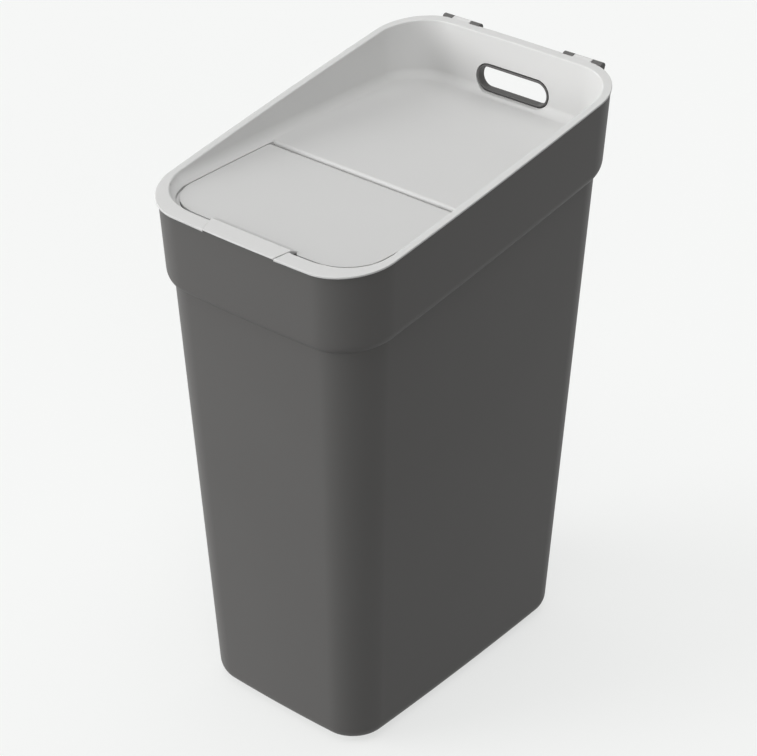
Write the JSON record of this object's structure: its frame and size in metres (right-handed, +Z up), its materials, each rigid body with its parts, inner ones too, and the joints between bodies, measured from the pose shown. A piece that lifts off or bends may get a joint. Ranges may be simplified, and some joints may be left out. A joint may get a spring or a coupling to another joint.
{
  "type": "waste bin",
  "caption": "Slim free-standing waste bin: drafted tub with a stepped collar, hinged lid with a sunken slanted top, lift-up flap with a front tab, and a carrying slot at the rear.",
  "frame": {"origin": "centre of the bin's outline in plan, lugs included, on the plane that it stands on", "axes": "+Z up, -Y towards the front where the flap's tab is, +Y towards the lid hinge, X along both hinge axes"},
  "size_m": [0.2482, 0.3706, 0.5478],
  "materials": {
    "dark_grey_plastic": "fine moulded satin",
    "light_grey_plastic": "fine moulded satin"
  },
  "bodies": {
    "tub": {"tub": "dark_grey_plastic"},
    "lid": {"lid": "light_grey_plastic"},
    "flap": {"flap": "light_grey_plastic"}
  },
  "joints": [
    {"name": "lid_hinge", "type": "hinge", "parent": "tub", "child": "lid", "pos_m": [0, 0.18162, 0.54411], "axis": [-1, 0, 0], "range_deg": [0, 105]},
    {"name": "flap_hinge", "type": "hinge", "parent": "lid", "child": "flap", "pos_m": [0, -0.03523, 0.48399], "axis": [-1, 0, 0], "range_deg": [0, 100]}
  ]
}
